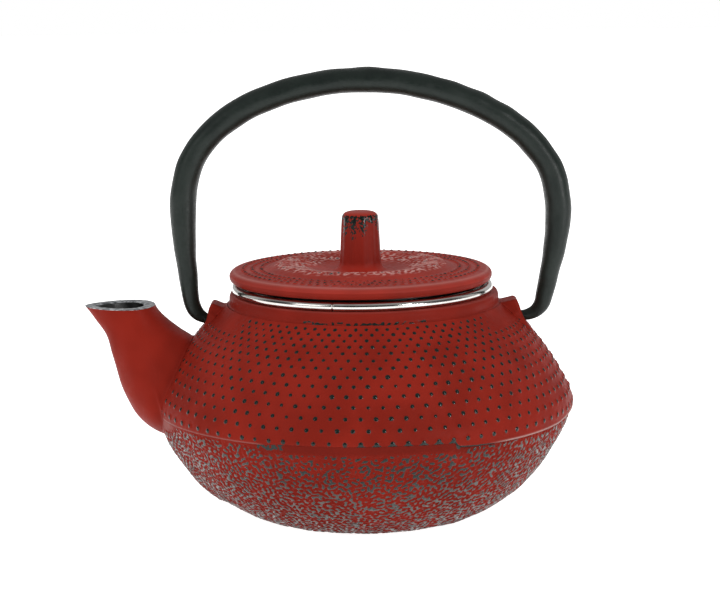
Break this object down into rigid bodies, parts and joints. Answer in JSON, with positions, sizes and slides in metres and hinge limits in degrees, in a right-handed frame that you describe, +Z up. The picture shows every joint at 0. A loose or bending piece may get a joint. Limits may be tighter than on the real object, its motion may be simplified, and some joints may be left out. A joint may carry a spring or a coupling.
{
  "type": "cast iron teapot",
  "caption": "Low round cast iron teapot, red enamelled and hobnailed, with a stub spout, a swinging bail handle, a knobbed lid and a lift-out steel mesh infuser.",
  "frame": {"origin": "centre of the flat foot on the pot's turning axis, on the surface it stands on", "axes": "+Z up, -X towards the spout, X along the line through the two handle lugs"},
  "size_m": [0.1352, 0.1152, 0.1226],
  "materials": {
    "pot_enamel": "satin red enamel over black, worn through on the raised dots",
    "lid_enamel": "satin red enamel over black, worn through on the knob",
    "bail_black": "satin black",
    "infuser_steel": "polished",
    "infuser_mesh": "fine mesh"
  },
  "bodies": {
    "pot": {"pot_body": "pot_enamel"},
    "bail": {"handle": "bail_black"},
    "infuser": {"infuser_rim": "infuser_steel", "infuser_collar": "infuser_steel", "infuser_wall": "infuser_mesh", "infuser_base_ring": "infuser_steel", "infuser_base": "infuser_mesh"},
    "lid": {"lid": "lid_enamel"}
  },
  "joints": [
    {"name": "bail_swing", "type": "hinge", "parent": "pot", "child": "bail", "pos_m": [0, 0, 0.0534], "axis": [1, 0, 0], "range_deg": [-103, 103]},
    {"name": "infuser_lift", "type": "slide", "parent": "pot", "child": "infuser", "axis": [0, 0, 1], "range_m": [0, 0.03]},
    {"name": "lid_lift", "type": "slide", "parent": "infuser", "child": "lid", "axis": [0, 0, 1], "range_m": [0, 0.03]}
  ]
}
